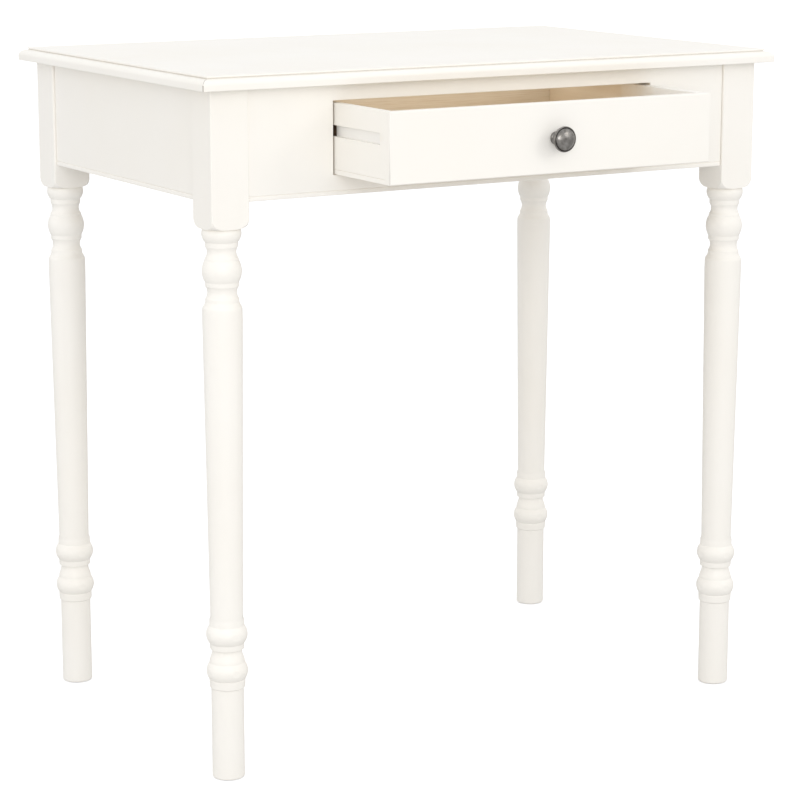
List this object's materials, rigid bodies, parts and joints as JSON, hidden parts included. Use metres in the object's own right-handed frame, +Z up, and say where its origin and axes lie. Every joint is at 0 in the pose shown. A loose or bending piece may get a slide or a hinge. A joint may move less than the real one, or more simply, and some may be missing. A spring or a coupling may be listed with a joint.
{
  "type": "writing desk",
  "caption": "Painted writing desk with four turned legs on square posts, aprons all round, a moulded top and an inset drawer with a mushroom knob.",
  "frame": {"origin": "on the floor, under the middle of the box that holds the desk with its drawer standing open as at rest; the desk's own middle is 59 mm behind it", "axes": "+Z up, +X to the right along the front, +Y from the drawer front towards the back"},
  "size_m": [0.734, 0.594, 0.762],
  "materials": {
    "cream_paint": "satin cream-white paint over wood",
    "raw_wood": "unpainted pale hardwood and plywood, matte",
    "pewter": "aged pewter with worn bright edges, satin",
    "steel_hardware": "zinc plated",
    "nylon": "matte moulded"
  },
  "bodies": {
    "frame": {"top_panel": "cream_paint", "top_edge_front": "cream_paint", "top_edge_back": "cream_paint", "top_edge_left": "cream_paint", "top_edge_right": "cream_paint", "leg_front_left": "cream_paint", "leg_front_right": "cream_paint", "leg_back_left": "cream_paint", "leg_back_right": "cream_paint", "front_apron": "cream_paint", "back_apron": "cream_paint", "left_apron": "cream_paint", "right_apron": "cream_paint", "top_cleat_left": "raw_wood", "top_cleat_right": "raw_wood", "corner_block_front_left": "raw_wood", "corner_block_front_right": "raw_wood", "corner_block_back_left": "raw_wood", "corner_block_back_right": "raw_wood", "drawer_guide_left": "raw_wood", "drawer_guide_right": "raw_wood", "drawer_runner_left": "raw_wood", "drawer_runner_right": "raw_wood", "drawer_stop_bar": "raw_wood", "leg_bolt_front_left": "steel_hardware", "leg_washer_front_left": "steel_hardware", "leg_nut_front_left": "steel_hardware", "leg_bolt_front_right": "steel_hardware", "leg_washer_front_right": "steel_hardware", "leg_nut_front_right": "steel_hardware", "leg_bolt_back_left": "steel_hardware", "leg_washer_back_left": "steel_hardware", "leg_nut_back_left": "steel_hardware", "leg_bolt_back_right": "steel_hardware", "leg_washer_back_right": "steel_hardware", "leg_nut_back_right": "steel_hardware", "top_screw_left_1": "steel_hardware", "top_screw_left_2": "steel_hardware", "top_screw_right_1": "steel_hardware", "top_screw_right_2": "steel_hardware", "runner_screw_left_1": "steel_hardware", "runner_screw_left_2": "steel_hardware", "runner_screw_right_1": "steel_hardware", "runner_screw_right_2": "steel_hardware", "glide_front_left": "nylon", "glide_front_right": "nylon", "glide_back_left": "nylon", "glide_back_right": "nylon"},
    "drawer": {"drawer_front": "cream_paint", "drawer_side_left": "cream_paint", "drawer_side_right": "cream_paint", "drawer_back": "raw_wood", "drawer_bottom": "raw_wood", "drawer_stop_block": "raw_wood", "drawer_knob": "pewter", "knob_screw": "steel_hardware"}
  },
  "joints": [
    {"name": "drawer_slide", "type": "slide", "parent": "frame", "child": "drawer", "axis": [0, -1, 0], "range_m": [-0.114, 0.104]}
  ]
}
